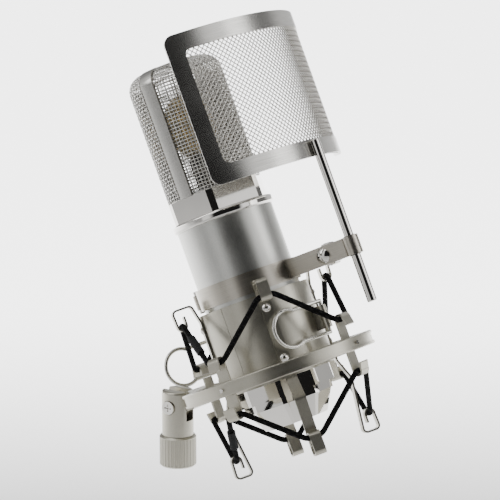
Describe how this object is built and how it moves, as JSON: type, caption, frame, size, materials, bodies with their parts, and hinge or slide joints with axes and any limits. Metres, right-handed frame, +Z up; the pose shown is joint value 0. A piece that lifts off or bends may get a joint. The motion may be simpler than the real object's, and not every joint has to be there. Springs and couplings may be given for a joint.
{
  "type": "condenser microphone",
  "caption": "Side-address condenser microphone in an elastic suspension cradle, with a curved metal pop filter on a sliding rod.",
  "frame": {"origin": "mouth of the stand thread, on its axis", "axes": "+Z up out of the stand along the thread's axis, +X towards the microphone and its pop filter, +Y along the tilt pivot"},
  "size_m": [0.1477, 0.115, 0.2487],
  "materials": {
    "champagne_metal": "satin",
    "satin_silver": "satin",
    "polished_nickel": "polished",
    "handle_nickel": "satin",
    "brushed_nickel": "brushed",
    "brushed_frame": "brushed",
    "woven_wire": "woven wire",
    "black_cord": "braided",
    "grey_felt": "felt",
    "black_plastic": "moulded",
    "gold": "plated",
    "brass": "turned",
    "chassis_alloy": "milled",
    "board_green": "laminate",
    "core_iron": "laminated",
    "component": "dipped",
    "can_metal": "plated"
  },
  "bodies": {
    "stand_ring": {"thread_ring": "champagne_metal"},
    "swivel": {"clevis": "champagne_metal", "pivot_screw": "polished_nickel", "pivot_nut": "polished_nickel"},
    "mount_ring": {"suspension_ring": "champagne_metal", "outer_hook_1": "champagne_metal", "outer_hook_2": "champagne_metal", "outer_hook_3": "champagne_metal", "outer_hook_4": "champagne_metal", "bracket_screws": "polished_nickel", "elastic_upper": "black_cord", "elastic_lower": "black_cord"},
    "cradle": {"sleeve_front": "champagne_metal", "sleeve_rear": "champagne_metal", "felt_liner": "grey_felt", "inner_hook_1": "champagne_metal", "inner_hook_2": "champagne_metal", "inner_hook_3": "champagne_metal", "inner_hook_4": "champagne_metal", "sleeve_rivets": "polished_nickel", "handle_lug_left": "champagne_metal", "handle_lug_right": "champagne_metal"},
    "left_handle": {"handle_left": "handle_nickel"},
    "right_handle": {"handle_right": "handle_nickel"},
    "microphone": {"body_tube": "satin_silver", "collar": "polished_nickel", "head_base": "polished_nickel", "grille_front": "woven_wire", "grille_rear": "woven_wire", "grille_band": "polished_nickel", "grille_inner_mesh": "woven_wire", "foot": "polished_nickel", "xlr_insert": "black_plastic", "xlr_pins": "gold", "capsule_backplate": "gold", "capsule_ring": "brass", "diaphragm_front": "gold", "diaphragm_rear": "gold", "capsule_saddle": "black_plastic", "head_plate": "chassis_alloy", "chassis_rails": "chassis_alloy", "chassis_base": "chassis_alloy", "circuit_board": "board_green", "transformer": "core_iron", "coupling_capacitor": "component", "transistor_can": "can_metal"},
    "clamp": {"clamp_band": "brushed_nickel", "clamp_hinge_pin": "polished_nickel", "clamp_screw": "polished_nickel"},
    "clamp_nut": {"thumb_nut": "polished_nickel"},
    "liner": {"rod_liner": "black_plastic"},
    "pop_filter": {"pop_rod": "polished_nickel", "pop_frame_outer": "brushed_frame", "pop_frame_inner": "brushed_frame", "pop_mesh_outer": "woven_wire", "pop_mesh_inner": "woven_wire"}
  },
  "joints": [
    {"name": "pan", "type": "hinge", "parent": "stand_ring", "child": "swivel", "pos_m": [0, 0, 0.0335], "axis": [0, 0, 1], "continuous": true},
    {"name": "tilt", "type": "hinge", "parent": "swivel", "child": "mount_ring", "pos_m": [0, 0, 0.0335], "axis": [0, 1, 0], "range_deg": [-60, 30]},
    {"name": "suspension", "type": "slide", "parent": "mount_ring", "child": "cradle", "axis": [-0.4067, 0, 0.9135], "range_m": [-0.003, 0.003], "stiffness_N_per_m": 9000, "springref_m": 0.0009, "deforming": ["elastic_upper", "elastic_lower"]},
    {"name": "left_squeeze", "type": "hinge", "parent": "cradle", "child": "left_handle", "pos_m": [0.02474, 0.004, 0.06422], "axis": [-0.4067, 0, 0.9135], "range_deg": [-14, 0], "stiffness_Nm_per_rad": 0.05},
    {"name": "right_squeeze", "type": "hinge", "parent": "cradle", "child": "right_handle", "pos_m": [0.09088, 0.004, 0.09367], "axis": [-0.4067, 0, 0.9135], "range_deg": [0, 14], "stiffness_Nm_per_rad": 0.05},
    {"name": "mic_turn", "type": "hinge", "parent": "cradle", "child": "microphone", "pos_m": [0.057, 0, 0.08077], "axis": [-0.4067, 0, 0.9135], "range_deg": [-15, 15]},
    {"name": "clamp_swing", "type": "hinge", "parent": "microphone", "child": "clamp", "pos_m": [0.046, 0, 0.10548], "axis": [-0.4067, 0, 0.9135], "range_deg": [-15, 0]},
    {"name": "nut_turn", "type": "hinge", "parent": "clamp", "child": "clamp_nut", "pos_m": [0.09305, 0.005, 0.12643], "axis": [0, 1, 0], "continuous": true},
    {"name": "filter_turn", "type": "hinge", "parent": "clamp", "child": "liner", "pos_m": [0.10949, 0, 0.13375], "axis": [-0.4067, 0, 0.9135], "range_deg": [-30, 30]},
    {"name": "filter_height", "type": "slide", "parent": "liner", "child": "pop_filter", "axis": [-0.4067, 0, 0.9135], "range_m": [-0.035, 0.02]}
  ],
  "couplings": [
    {"joint": "right_squeeze", "follows": "left_squeeze", "ratio": -1}
  ]
}
